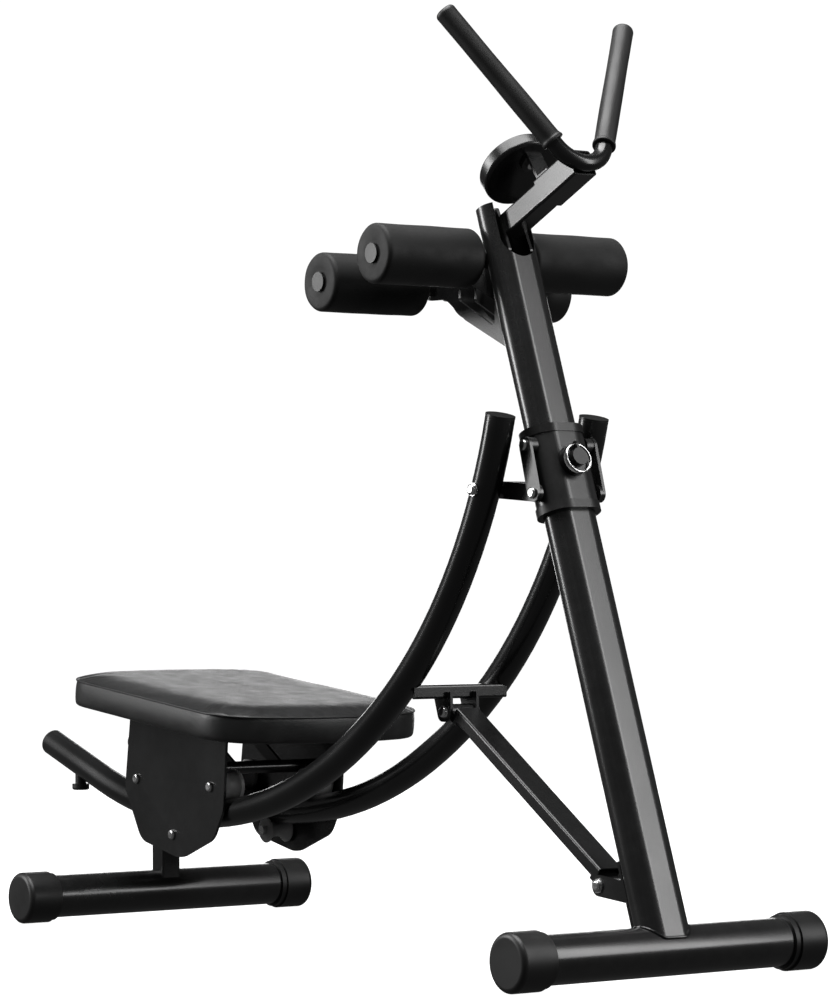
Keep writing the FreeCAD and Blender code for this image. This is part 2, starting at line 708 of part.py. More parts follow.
def pad_outline(inset):
    """Plan of the pad: straight sides, bowed ends and round corners."""
    hx = PAD_LEN / 2.0 - inset
    hy = PAD_WIDE / 2.0 - inset
    r = PAD_CORNER - inset
    end_r = PAD_END_R - inset
    corner_y = hy - r
    # the corner arc meets the straight side and the bowed end without a kink
    tilt = math.asin(corner_y / (end_r - r))
    cx = hx - end_r + (end_r - r) * math.cos(tilt)
    points = []
    edges = []
    for sx in (1, -1):
        for sy in (1, -1):
            centre = V(sx * cx, sy * corner_y, 0)
            side_end = centre + V(0, sy * r, 0)
            end_side = centre + V(sx * r * math.cos(tilt), sy * r * math.sin(tilt), 0)
            half_turn = (math.pi / 2 + tilt) / 2.0
            mid = centre + V(sx * r * math.cos(half_turn), sy * r * math.sin(half_turn), 0)
            edges.append(Part.Arc(side_end, mid, end_side).toShape())
            points.append((side_end, end_side))
        top = points[-2][1]
        bottom = points[-1][1]
        edges.append(Part.Arc(top, V(sx * hx, 0, 0), bottom).toShape())
    edges.append(Part.makeLine(points[0][0], points[2][0]))
    edges.append(Part.makeLine(points[1][0], points[3][0]))
    return Part.Face(Part.Wire(Part.__sortEdges__(edges)))


def board_shape():
    body = pad_outline(BOARD_INSET).extrude(V(0, 0, -BOARD_THICK))
    body.translate(V(0, 0, BOARD_THICK - PAD_THICK))
    return body


def make_pad():
    body = pad_outline(0.0).extrude(V(0, 0, -PAD_THICK))
    rims = [e for e in body.Edges if e.BoundBox.ZLength < 0.1 and e.BoundBox.ZMax > -1]
    return to_pad(body.makeFillet(7.0, rims).cut(board_shape()))


def make_board():
    return to_pad(board_shape())


nodes["knee_pad"] = make_pad()
nodes["seat_board"] = make_board()

SEAT_UNDER = pad_plane(PAD_THICK)
PLATE_BACK_X = -1076.0
PLATE_FRONT_X = -816.0


def make_carriage_plate(side):
    points = [
        (PLATE_BACK_X + 8, SEAT_UNDER(PLATE_BACK_X + 8)), (PLATE_BACK_X - 8, 190.0), (-1040.0, 118.0),
        (-935.0, 97.0), (-850.0, 128.0), (PLATE_FRONT_X - 8, 170.0), (PLATE_FRONT_X, SEAT_UNDER(PLATE_FRONT_X))]
    radii = [0, 34.0, 34.0, 60.0, 34.0, 26.0, 0]
    body = plate(points, radii, side * PLATE_IN, side * (PLATE_IN + SHEET))
    # top flange turned inwards under the seat board
    flange = box(PLATE_BACK_X + 12 - PAD_X, PLATE_FRONT_X - 4 - PAD_X, PLATE_IN - 22, PLATE_IN + SHEET,
                 -PAD_THICK - SHEET, -PAD_THICK)
    flange = to_pad(flange)
    if side < 0:
        flange = mirrored(flange)
    body = body.fuse(flange).removeSplitter()
    for p in AXLES.values():
        body = body.cut(along_y(AXLE_R, side * PLATE_IN, side * (PLATE_IN + SHEET), *p))
    return body


def make_axle(side, p):
    """Axle bolt with a domed head outside the plate, a washer, and a nut at its inner end."""
    outer = PLATE_IN + SHEET
    inner = RAIL_Y - ROLLER_HALF - AIR
    shank = along_y(AXLE_R, side * (inner - NUT_H), side * outer, *p)
    head = domed_head(side, side * outer, p)
    spacer_in = RAIL_Y + ROLLER_HALF + AIR / 2
    spacer = along_y(NUT_R, side * spacer_in, side * PLATE_IN, *p)
    nut = along_y(NUT_R, side * (inner - NUT_H), side * inner, *p)
    return shank.fuse(head).fuse(spacer).fuse(nut).removeSplitter()


def make_roller(side, p, offset, flange_r):
    """Concave roller whose groove follows the rail's round."""
    half = ROLLER_HALF
    y = side * RAIL_Y
    groove_r = RAIL_R + ROLL
    edge = math.sqrt(groove_r ** 2 - (offset - flange_r) ** 2)
    lip = half - edge
    bore = AXLE_R + RUN
    # half section in (axial, radial) coordinates, turned about the axle
    low = offset - groove_r
    a = V(0, -half, bore)
    pts = [V(0, -half, bore), V(0, -half, flange_r - 1.5), V(0, -half + min(1.5, lip * 0.6), flange_r),
           V(0, -edge, flange_r)]
    pts_right = [V(0, -q.y, q.z) for q in reversed(pts)]
    edges = [Part.makeLine(pts[i], pts[i + 1]) for i in range(3)]
    edges.append(Part.Arc(pts[3], V(0, 0, low), pts_right[0]).toShape())
    edges += [Part.makeLine(pts_right[i], pts_right[i + 1]) for i in range(3)]
    edges.append(Part.makeLine(pts_right[3], a))
    face = Part.Face(Part.Wire(edges))
    body = face.revolve(V(0, 0, 0), V(0, 1, 0), 360)
    body.translate(V(p[0], y, p[1]))
    return body


for name, side in SIDES:
    nodes["carriage_plate_" + name] = make_carriage_plate(side)
    for where, p in AXLES.items():
        if where == "lower":
            nodes["roller_lower_" + name] = make_roller(side, p, LOW_OFFSET, LOW_FLANGE_R)
        else:
            nodes["roller_" + where + "_" + name] = make_roller(side, p, UP_OFFSET, UP_FLANGE_R)
nodes["roller_axles"] = Part.makeCompound([make_axle(side, p) for _, side in SIDES for p in AXLES.values()])

BRACE_R = 9.0
BRACE_BACK = 985.0    # distances behind the front stabiliser
BRACE_FRONT = 893.0
BRACE_DROP = 57.0
BRACE_Y = 36.0


def make_carriage_brace():
    """Two cross tubes between the plates, tied by a diagonal flat bar on each side."""
    back_z = pad_plane(PAD_THICK + SHEET + BRACE_R)(-BRACE_BACK)
    back = (-BRACE_BACK, back_z)
    front = (-BRACE_FRONT, back_z - BRACE_DROP)
    tubes = [along_y(BRACE_R, -PLATE_IN, PLATE_IN, *p) for p in (back, front)]
    bars = []
    for side in (-1, 1):
        bar = bar_between(back, front, -BRACE_R, BRACE_R, side * BRACE_Y, side * (BRACE_Y + SHEET))
        bars.append(bar.cut(tubes[0]).cut(tubes[1]))
    return Part.makeCompound(tubes + bars)


nodes["carriage_brace"] = make_carriage_brace()


# ---- foam rollers ----
def make_foam(side, p):
    foam = along_y(FOAM_R, side * FOAM_IN, side * FOAM_OUT, *p)
    rims = [e for e in foam.Edges if e.BoundBox.YLength < 0.1]
    foam = foam.makeFillet(4.0, rims)
    return foam.cut(along_y(BAR_R + SLIDE, side * FOAM_IN, side * FOAM_OUT, *p))


for name, side in SIDES:
    nodes["foam_top_" + name] = make_foam(side, FOAM_TOP)
    nodes["foam_low_" + name] = make_foam(side, FOAM_LOW)
BAR_END = FOAM_OUT - 3.0
nodes["foam_bar_top"] = along_y(BAR_R, -BAR_END, BAR_END, FOAM_TOP[0], FOAM_TOP[1], BAR_R - 2.0)
nodes["foam_bar_low"] = along_y(BAR_R, -BAR_END, BAR_END, FOAM_LOW[0], FOAM_LOW[1], BAR_R - 2.0)


def make_bar_plug(side, p):
    disc = along_y(BAR_R + 1.5, side * (FOAM_OUT + 0.4), side * (FOAM_OUT + 2.4), *p)
    stem = along_y(BAR_R - 2.0, side * (BAR_END - 12), side * (FOAM_OUT + 0.4), *p)
    return disc.fuse(stem).removeSplitter()


nodes["foam_bar_plugs"] = Part.makeCompound([make_bar_plug(side, p) for _, side in SIDES
                                             for p in (FOAM_TOP, FOAM_LOW)])


def make_foam_bracket():
    back = POST_HALF + SHEET
    w_low = 812.0
    w_high = 952.0
    base = to_post(box(-back, -POST_HALF, -18.0, 18.0, w_low, w_high))
    low = post_point(-POST_HALF - 1, w_low + 12)
    high = post_point(-POST_HALF - 1, w_high - 10)
    hub = 17.0
    points = [(low.x, low.z), (-375.0, 814.0), (-417.0, 843.0), (FOAM_LOW[0] + 2, FOAM_LOW[1] - hub),
              (FOAM_LOW[0] - hub, FOAM_LOW[1] - hub + 2), (FOAM_LOW[0] - hub + 4, FOAM_LOW[1] + hub - 2),
              (FOAM_TOP[0] - 10, FOAM_TOP[1] + hub), (high.x, high.z)]
    radii = [0, 12.0, 30.0, 6.0, 12.0, 12.0, 14.0, 0]
    window = [(-312.0, 801.5), (-389.0, 840.5), (-389.0, 870.0), (-312.0, 836.0)]
    body = base
    for side in (-1, 1):
        y0 = side * BRACKET_IN
        y1 = side * (BRACKET_IN + BRACKET_T)
        cheek = plate(points, radii, y0, y1).cut(plate(window, [5.0] * 4, y0, y1))
        body = body.fuse(cheek)
    body = body.cut(to_post(oval(0.0, 700.0, POST_TOP)))
    for p in (FOAM_TOP, FOAM_LOW):
        body = body.cut(along_y(BAR_R, -60, 60, *p))
    return max(body.removeSplitter().Solids, key=lambda s: s.Volume)


nodes["foam_bracket"] = make_foam_bracket()
POST_CUT = along_y(BAR_R, -60, 60, *FOAM_TOP)
nodes["post"] = nodes["post"].cut(POST_CUT)


# ---- stem stub, stem, handlebar and grips ----
RISE = math.radians(STEM_RISE)
STEM_DIR = V(math.cos(RISE), 0, math.sin(RISE))


def stem_tube(side_len, start, end, wall):
    half = side_len / 2.0
    tube = box(start, end, -half, half, -half, half)
    tube = tube.makeFillet(3.5, [e for e in tube.Edges if e.BoundBox.XLength > 5 and e.BoundBox.YLength < 0.1])
    inner = half - wall
    tube = tube.cut(box(start, end, -inner, inner, -inner, inner))
    tube.rotate(V(0, 0, 0), V(0, -1, 0), STEM_RISE)
    tube.translate(vec(STEM_AT))
    return tube


def v_point(distance, side):
    """Point on a handlebar leg, measured from where the legs would meet."""
    a = math.radians(V_HALF)
    lean = math.radians(V_LEAN)
    up = distance * math.cos(a)
    return V(V_FOOT[0] - up * math.sin(lean), side * distance * math.sin(a), V_FOOT[1] + up * math.cos(lean))


def leg_dir(side):
    direction = v_point(1.0, side) - v_point(0.0, side)
    direction.normalize()
    return direction


def make_handlebar_solid(radius, end):
    reach = BAR_BEND / math.tan(math.radians(V_HALF))
    rise = BAR_BEND / math.sin(math.radians(V_HALF)) - BAR_BEND
    lean = math.radians(V_LEAN)
    bottom = V(V_FOOT[0] - rise * math.sin(lean), 0, V_FOOT[1] + rise * math.cos(lean))
    left = Part.makeLine(v_point(end, 1), v_point(reach, 1))
    bend = Part.Arc(v_point(reach, 1), bottom, v_point(reach, -1)).toShape()
    right = Part.makeLine(v_point(reach, -1), v_point(end, -1))
    return pipe(Part.Wire([left, bend, right]), radius, v_point(end, 1), leg_dir(1))


BAR_FULL = make_handlebar_solid(BAR_TUBE_R, GRIP_END - 6.0)
nodes["handlebar"] = BAR_FULL.cut(make_handlebar_solid(BAR_TUBE_R - 2.0, GRIP_END - 6.0))


def make_grip(side):
    start = v_point(GRIP_START, side)
    direction = leg_dir(side)
    length = GRIP_END - GRIP_START
    body = cyl(GRIP_R, length, start, direction)
    tip = v_point(GRIP_END, side)
    rim = [e for e in body.Edges if e.Length < 7 * GRIP_R and (e.CenterOfMass - tip).Length < 1.0]
    body = body.makeFillet(5.0, rim)
    body = body.fuse(cyl(GRIP_R + 1.5, 5.0, start, direction))
    bore = cyl(BAR_TUBE_R, length - 6.0, start, direction)
    return body.cut(bore).removeSplitter()


for name, side in SIDES:
    nodes["grip_" + name] = make_grip(side)

nodes["stem"] = stem_tube(STEM_OUT, 0.0, STEM_LEN, STEM_WALL).cut(BAR_FULL)
nodes["stem"] = max(nodes["stem"].Solids, key=lambda s: s.Volume)


def make_stem_stub():
    tube = stem_tube(STEM_IN, -STUB_BACK, 40.0, STEM_WALL)
    inside = to_post(oval(-POST_WALL, NOTCH_BOTTOM - 30, POST_TOP + 60))
    # two cheeks weld the stub to the inside of the post's open top
    for side in (-1, 1):
        corner_low = post_point(-12.0, NOTCH_BOTTOM - 8)
        corner_front = post_point(POST_HALF - 1, NOTCH_BOTTOM + 8)
        corner_top = post_point(14.0, POST_TOP - 4)
        corner_back = post_point(-12.0, POST_TOP - 10)
        pts = [(corner_low.x, corner_low.z), (corner_front.x, corner_front.z),
               (corner_top.x, corner_top.z), (corner_back.x, corner_back.z)]
        cheek = plate(pts, [4.0, 4.0, 4.0, 4.0], side * STEM_IN / 2, side * (STEM_IN / 2 + SHEET))
        tube = tube.fuse(cheek)
    foot = to_post(box(-POST_HALF + POST_WALL, -10.0, -STEM_IN / 2 - SHEET, STEM_IN / 2 + SHEET,
                       NOTCH_BOTTOM - 8, POST_TOP - 12)).common(inside)
    return tube.fuse(foot).removeSplitter().cut(nodes["post"])


nodes["stem_stub"] = make_stem_stub()


# ---- monitor ----
TILT = math.radians(POD_TILT)
FACE_DIR = V(-math.cos(TILT), 0, math.sin(TILT))
FACE_UP = V(math.sin(TILT), 0, math.cos(TILT))


def pod_point(out, up, y=0.0):
    """Point out along the monitor's facing direction and up its face, from the face's centre."""
    return V(POD_FACE[0], y, POD_FACE[1]) + FACE_DIR * out + FACE_UP * up


def make_pod():
    body = cyl(POD_R, POD_THICK, pod_point(-POD_THICK, 0), FACE_DIR)
    back_rim = [e for e in body.Edges if (e.CenterOfMass - pod_point(-POD_THICK, 0)).Length < 1.0]
    body = body.makeFillet(5.0, back_rim)
    front_rim = [e for e in body.Edges if (e.CenterOfMass - pod_point(0, 0)).Length < 1.0]
    body = body.makeFillet(2.5, front_rim)
    body = body.cut(cyl(POD_R - 8, 3.0, pod_point(-3.0, 0), FACE_DIR))
    body = body.cut(cyl(BUTTON_R + RUN, 8.0, pod_point(-8.0, -BUTTON_DROP), FACE_DIR))
    return body.cut(cyl(POD_BOLT_R, 8.0, pod_point(-POD_THICK, POD_BOLT_UP), FACE_DIR))


def make_pod_screen():
    lens = cyl(POD_R - 8 - 0.2, 2.0, pod_point(-3.0, 0), FACE_DIR)
    return lens.cut(cyl(BUTTON_R + AIR, 4.0, pod_point(-4.0, -BUTTON_DROP), FACE_DIR))


def make_pod_button():
    cap = cyl(BUTTON_R, 5.0, pod_point(-4.0, -BUTTON_DROP), FACE_DIR)
    rim = [e for e in cap.Edges if (e.CenterOfMass - pod_point(1.0, -BUTTON_DROP)).Length < 0.5]
    return cap.makeFillet(1.2, rim)


def make_pod_bracket():
    """Bent strap: a foot on the stem's top, a web, and a plate on the monitor's back."""
    disc = cyl(STRAP_HALF, SHEET, pod_point(-POD_THICK - SHEET, POD_BOLT_UP), FACE_DIR)
    plate_up = box(0, SHEET, -STRAP_HALF, STRAP_HALF, POD_BOLT_UP, STRAP_TOP)
    plate_up.rotate(V(0, 0, 0), V(0, -1, 0), -POD_TILT)
    plate_up.translate(pod_point(-POD_THICK, 0))
    foot = box(0, STRAP_FOOT, -STRAP_HALF, STRAP_HALF, STEM_OUT / 2, STEM_OUT / 2 + SHEET)
    foot.rotate(V(0, 0, 0), V(0, -1, 0), STEM_RISE)
    foot.translate(vec(STEM_AT))
    normal = V(-STEM_DIR.z, 0, STEM_DIR.x)
    low = vec(STEM_AT) + STEM_DIR * (SHEET / 2) + normal * (STEM_OUT / 2 + SHEET / 2)
    high = pod_point(-POD_THICK - SHEET / 2, STRAP_TOP - SHEET / 2)
    web = bar_between((low.x, low.z), (high.x, high.z), -SHEET / 2, SHEET / 2, -STRAP_HALF, STRAP_HALF)
    body = disc.fuse(plate_up).fuse(foot).fuse(web).removeSplitter()
    body = body.cut(cyl(POD_R, POD_THICK, pod_point(-POD_THICK, 0), FACE_DIR))
    stem_block = box(0, STEM_LEN, -STEM_OUT, STEM_OUT, -STEM_OUT, STEM_OUT / 2)
    stem_block.rotate(V(0, 0, 0), V(0, -1, 0), STEM_RISE)
    stem_block.translate(vec(STEM_AT))
    body = body.cut(stem_block)
    return body.cut(cyl(POD_BOLT_R, 2 * POD_THICK, pod_point(-2 * POD_THICK, POD_BOLT_UP), FACE_DIR))


def make_pod_bolt():
    start = pod_point(-POD_THICK - SHEET, POD_BOLT_UP)
    shank = cyl(POD_BOLT_R, SHEET + 8.0, start, FACE_DIR)
    head = cyl(5.5, 3.5, start, FACE_DIR * -1)
    return shank.fuse(head).removeSplitter()


nodes["monitor_housing"] = make_pod()
nodes["monitor_screen"] = make_pod_screen()
nodes["monitor_button"] = make_pod_button()
nodes["monitor_bracket"] = make_pod_bracket()
nodes["monitor_bolt"] = make_pod_bolt()


# ---- move the origin to the bottom centre, and write the files ----
whole = Part.makeCompound(list(nodes.values()))
whole.tessellate(0.05)
bounds = whole.optimalBoundingBox(True, False)
SHIFT = V(-(bounds.XMin + bounds.XMax) / 2.0, 0, -bounds.ZMin)
os.makedirs("parts", exist_ok=True)
for node, shape in nodes.items():
    shape.translate(SHIFT)
    shape.exportStep("parts/" + node + ".step")
    if not shape.isValid():
        print("not valid:", node)
print(len(nodes), "nodes", bounds.XLength, bounds.YLength, bounds.ZLength)
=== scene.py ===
import bpy
import bmesh
import json
import math
from mathutils import Matrix, Vector, noise


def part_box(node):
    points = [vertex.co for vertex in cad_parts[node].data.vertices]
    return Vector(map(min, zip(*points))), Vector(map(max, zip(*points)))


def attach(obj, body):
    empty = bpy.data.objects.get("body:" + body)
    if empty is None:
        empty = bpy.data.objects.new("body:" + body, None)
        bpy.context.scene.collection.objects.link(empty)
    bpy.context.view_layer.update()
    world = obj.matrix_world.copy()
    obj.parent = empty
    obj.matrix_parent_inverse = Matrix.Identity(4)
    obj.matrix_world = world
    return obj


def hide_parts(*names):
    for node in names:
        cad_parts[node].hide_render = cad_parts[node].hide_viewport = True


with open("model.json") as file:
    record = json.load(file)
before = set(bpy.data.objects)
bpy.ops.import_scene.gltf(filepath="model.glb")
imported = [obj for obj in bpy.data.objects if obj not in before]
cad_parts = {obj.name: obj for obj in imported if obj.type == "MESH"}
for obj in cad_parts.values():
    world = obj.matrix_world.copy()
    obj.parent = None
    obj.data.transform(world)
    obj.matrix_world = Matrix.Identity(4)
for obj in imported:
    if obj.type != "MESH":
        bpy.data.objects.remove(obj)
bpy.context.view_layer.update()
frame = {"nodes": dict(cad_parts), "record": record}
scene = bpy.context.scene
nodes = frame["nodes"]


def centre(node):
    lo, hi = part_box(node)
    return (Vector(lo) + Vector(hi)) / 2.0


# where the front stabiliser's axis is: the camera and a few pieces are placed from it
FRONT = centre("front_stabilizer").x


# ---------------------------------------------------------------- materials
def new_material(name):
    m = bpy.data.materials.new(name)
    m.use_nodes = True
    tree = m.node_tree
    bsdf = tree.nodes["Principled BSDF"]
    return m, tree, bsdf


def coords(tree, scale=(1, 1, 1)):
    tc = tree.nodes.new("ShaderNodeTexCoord")
    mp = tree.nodes.new("ShaderNodeMapping")
    mp.inputs["Scale"].default_value = scale
    tree.links.new(tc.outputs["Object"], mp.inputs["Vector"])
    return mp.outputs["Vector"]


def noise_tex(tree, vec, scale, detail=4.0, rough=0.55):
    n = tree.nodes.new("ShaderNodeTexNoise")
    n.inputs["Scale"].default_value = scale
    n.inputs["Detail"].default_value = detail
    n.inputs["Roughness"].default_value = rough
    tree.links.new(vec, n.inputs["Vector"])
    return n.outputs["Fac"]


def voronoi(tree, vec, scale, feature="F1"):
    n = tree.nodes.new("ShaderNodeTexVoronoi")
    n.feature = feature
    n.inputs["Scale"].default_value = scale
    tree.links.new(vec, n.inputs["Vector"])
    return n.outputs["Distance"]


def ramp(tree, fac, stops):
    r = tree.nodes.new("ShaderNodeValToRGB")
    e = r.color_ramp.elements
    e[0].position, e[0].color = stops[0]
    e[1].position, e[1].color = stops[-1]
    for pos, col in stops[1:-1]:
        x = e.new(pos)
        x.color = col
    tree.links.new(fac, r.inputs["Fac"])
    return r.outputs["Color"]


def remap(tree, fac, lo, hi, a=0.0, b=1.0):
    n = tree.nodes.new("ShaderNodeMapRange")
    n.inputs["From Min"].default_value = a
    n.inputs["From Max"].default_value = b
    n.inputs["To Min"].default_value = lo
    n.inputs["To Max"].default_value = hi
    tree.links.new(fac, n.inputs["Value"])
    return n.outputs["Result"]


def mix_sum(tree, a, b, wa, wb):
    m1 = tree.nodes.new("ShaderNodeMath")
    m1.operation = "MULTIPLY"
    m1.inputs[1].default_value = wa
    tree.links.new(a, m1.inputs[0])
    m2 = tree.nodes.new("ShaderNodeMath")
    m2.operation = "MULTIPLY_ADD"
    m2.inputs[1].default_value = wb
    tree.links.new(b, m2.inputs[0])
    tree.links.new(m1.outputs[0], m2.inputs[2])
    return m2.outputs[0]


def bump(tree, bsdf, height, strength, distance):
    b = tree.nodes.new("ShaderNodeBump")
    b.inputs["Strength"].default_value = strength
    b.inputs["Distance"].default_value = distance
    tree.links.new(height, b.inputs["Height"])
    tree.links.new(b.outputs["Normal"], bsdf.inputs["Normal"])


def grey(v, tint=0.0):
    return (v, v * (1 + tint * 0.5), v * (1 + tint), 1.0)


def paint(name="paint", dark=0.0035, light=0.0065, rough=(0.22, 0.28), peel=0.05):
    """Powder-coated steel: orange peel, slight roughness clouds, edges rubbed a little lighter."""
    m, t, b = new_material(name)
    v = coords(t)
    cloud = noise_tex(t, v, 9.0, 5.0)
    fine = noise_tex(t, v, 420.0, 2.0)
    base = ramp(t, cloud, [(0.35, grey(dark, 0.05)), (0.7, grey(light, 0.05))])
    geo = t.nodes.new("ShaderNodeNewGeometry")
    worn = ramp(t, geo.outputs["Pointiness"], [(0.56, (0, 0, 0, 1)), (0.68, (1, 1, 1, 1))])
    scuff = noise_tex(t, v, 60.0, 6.0, 0.7)
    both = t.nodes.new("ShaderNodeMath")
    both.operation = "MULTIPLY"
    t.links.new(worn, both.inputs[0])
    t.links.new(scuff, both.inputs[1])
    mx = t.nodes.new("ShaderNodeMix")
    mx.data_type = "RGBA"
    mx.inputs["B"].default_value = grey(0.035)
    t.links.new(both.outputs[0], mx.inputs["Factor"])
    t.links.new(base, mx.inputs["A"])
    t.links.new(mx.outputs["Result"], b.inputs["Base Color"])
    t.links.new(remap(t, cloud, rough[0], rough[1], 0.3, 0.7), b.inputs["Roughness"])
    b.inputs["Coat Weight"].default_value = 0.15
    b.inputs["Coat Roughness"].default_value = 0.12
    bump(t, b, fine, peel, 0.00025)
    return m


def moulded(name, dark, light, rough, grain, depth=0.0004, strength=0.25):
    """Moulded plastic or rubber with a fine spark-eroded grain."""
    m, t, b = new_material(name)
    v = coords(t)
    cloud = noise_tex(t, v, 14.0, 5.0)
    g = mix_sum(t, noise_tex(t, v, grain, 3.0), voronoi(t, v, grain * 0.7), 0.6, 0.4)
    t.links.new(ramp(t, cloud, [(0.3, grey(dark)), (0.75, grey(light))]), b.inputs["Base Color"])
    t.links.new(remap(t, cloud, rough - 0.06, rough + 0.08, 0.3, 0.7), b.inputs["Roughness"])
    bump(t, b, g, strength * 0.5, depth * 0.35)
    return m


def foam(name):
    """Closed-cell foam: tiny cells, soft sheen, handling marks."""
    m, t, b = new_material(name)
    v = coords(t)
    cells = voronoi(t, v, 520.0)
    big = noise_tex(t, v, 26.0, 6.0, 0.65)
    h = mix_sum(t, cells, big, 0.7, 0.5)
    t.links.new(ramp(t, big, [(0.3, grey(0.0018)), (0.75, grey(0.0042))]), b.inputs["Base Color"])
    b.inputs["Specular IOR Level"].default_value = 0.32
    t.links.new(remap(t, big, 0.52, 0.70, 0.3, 0.7), b.inputs["Roughness"])
    b.inputs["Sheen Weight"].default_value = 0.05
    b.inputs["Sheen Roughness"].default_value = 0.5
    bump(t, b, h, 0.25, 0.0004)
    return m


def vinyl(name, dark=0.008, light=0.014, rough=0.34):
    """Upholstery vinyl: leather-like pebble grain with creases between the pebbles."""
    m, t, b = new_material(name)
    v = coords(t)
    warp = noise_tex(t, v, 40.0, 4.0)
    pebble = voronoi(t, v, 620.0, "DISTANCE_TO_EDGE")
    crease = remap(t, pebble, 0.0, 1.0, 0.0, 0.12)
    h = mix_sum(t, crease, noise_tex(t, v, 900.0, 3.0), 0.75, 0.25)
    t.links.new(ramp(t, warp, [(0.3, grey(dark, 0.03)), (0.75, grey(light, 0.03))]), b.inputs["Base Color"])
    haze = mix_sum(t, warp, crease, 0.7, -0.15)
    t.links.new(remap(t, haze, rough - 0.04, rough + 0.16, 0.1, 0.6), b.inputs["Roughness"])
    b.inputs["Sheen Weight"].default_value = 0.02
    bump(t, b, h, 0.30, 0.0003)
    return m


def plated(name, colour, rough=(0.10, 0.22), brush=1.0):
    """Bright plated steel with faint turning marks and handling haze."""
    m, t, b = new_material(name)
    v = coords(t, (1.0, brush, 1.0))
    haze = noise_tex(t, v, 90.0, 6.0, 0.65)
    lines = noise_tex(t, v, 900.0, 2.0)
    t.links.new(ramp(t, haze, [(0.3, grey(colour * 0.86)), (0.7, grey(colour))]), b.inputs["Base Color"])
    t.links.new(remap(t, haze, rough[0], rough[1], 0.3, 0.7), b.inputs["Roughness"])
    b.inputs["Metallic"].default_value = 1.0
    bump(t, b, lines, 0.06, 0.0003)
    return m


def lens(name):
    m, t, b = new_material(name)
    v = coords(t)
    smear = noise_tex(t, v, 30.0, 5.0)
    t.links.new(ramp(t, smear, [(0.3, grey(0.010)), (0.8, grey(0.016))]), b.inputs["Base Color"])
    t.links.new(remap(t, smear, 0.04, 0.11, 0.3, 0.7), b.inputs["Roughness"])
    b.inputs["Coat Weight"].default_value = 0.6
    b.inputs["Coat Roughness"].default_value = 0.05
    return m


def lcd(name):
    m, t, b = new_material(name)
    v = coords(t)
    grid = noise_tex(t, v, 700.0, 1.0)
    stops = [(0.3, (0.16, 0.19, 0.15, 1)), (0.7, (0.20, 0.235, 0.185, 1))]
    t.links.new(ramp(t, grid, stops), b.inputs["Base Color"])
    b.inputs["Roughness"].default_value = 0.25
    bump(t, b, grid, 0.05, 0.0002)
    return m


M_PAINT = paint()
M_SLEEVE = paint("sleeve_paint", 0.003, 0.006, (0.26, 0.38), 0.12)
M_CAP = moulded("cap_rubber", 0.004, 0.008, 0.44, 500.0)
M_PLASTIC = moulded("black_plastic", 0.005, 0.010, 0.36, 700.0, 0.0003, 0.18)
M_GRIP = moulded("grip_rubber", 0.004, 0.008, 0.50, 380.0, 0.0004, 0.14)
M_NYLON = moulded("grey_nylon", 0.30, 0.38, 0.42, 600.0, 0.0003, 0.15)
M_FOAM = foam("roller_foam")
M_VINYL = vinyl("pad_vinyl")
M_WELT = vinyl("welt_vinyl", 0.005, 0.008, 0.42)
M_CHROME = plated("plated_steel", 0.82)
M_ZINC = plated("zinc_plate", 0.66, (0.18, 0.34))
M_BOARD = moulded("board_black", 0.006, 0.012, 0.6, 300.0, 0.0006, 0.3)
M_SHELL = moulded("monitor_shell", 0.005, 0.009, 0.26, 900.0, 0.0002, 0.10)
M_LENS = lens("monitor_lens")
M_LCD = lcd("lcd_face")
M_BUTTON = moulded("button_grey", 0.26, 0.32, 0.40, 700.0, 0.0003, 0.15)

BY_SLOT = {
    "frame_paint": M_PAINT, "cap_rubber": M_CAP, "plug_plastic": M_PLASTIC, "fastener_chrome": M_CHROME,
    "grip_foam": M_GRIP, "roller_foam": M_FOAM, "roller_nylon": M_NYLON, "pad_vinyl": M_VINYL,
    "monitor_shell": M_SHELL, "monitor_lens": M_LENS, "button_plastic": M_BUTTON}
SPECIAL = {"seat_board": M_BOARD, "sleeve": M_SLEEVE, "roller_axles": M_ZINC, "strut_foot_bolt": M_ZINC,
           "pull_pin": M_PLASTIC}
for part in frame["record"]["subparts"]:
    obj = nodes[part["node"]]
    material = SPECIAL.get(part["node"], BY_SLOT[part["material_slot"]])
    for s in obj.material_slots:
        s.material = material


# ---------------------------------------------------------------- mesh helpers
def add_object(name, mesh, material):
    obj = bpy.data.objects.new(name, mesh)
    scene.collection.objects.link(obj)
    mesh.materials.append(material)
    for p in mesh.polygons:
        p.use_smooth = True
    return obj


def grid_mesh(name, rings, closed_ends=True):
    """Mesh from closed rings of equal size, each joined to the next; the end rings are capped by a fan."""
    n = len(rings[0])
    verts = [tuple(p) for ring in rings for p in ring]
    faces = []
    for i in range(len(rings) - 1):
        for j in range(n):
            k = (j + 1) % n
            faces.append((i * n + j, i * n + k, (i + 1) * n + k, (i + 1) * n + j))
    mesh = bpy.data.meshes.new(name)
    if closed_ends:
        for i in (0, len(rings) - 1):
            c = Vector((0, 0, 0))
            for p in rings[i]:
                c += Vector(p)
            verts.append(tuple(c / n))
            top = len(verts) - 1
            for j in range(n):
                k = (j + 1) % n
                tri = (i * n + j, i * n + k, top) if i else (i * n + k, i * n + j, top)
                faces.append(tri)
    mesh.from_pydata(verts, [], faces)
    mesh.update()
    bm = bmesh.new()
    bm.from_mesh(mesh)
    bmesh.ops.recalc_face_normals(bm, faces=bm.faces)
    bm.to_mesh(mesh)
    bm.free()
    return mesh


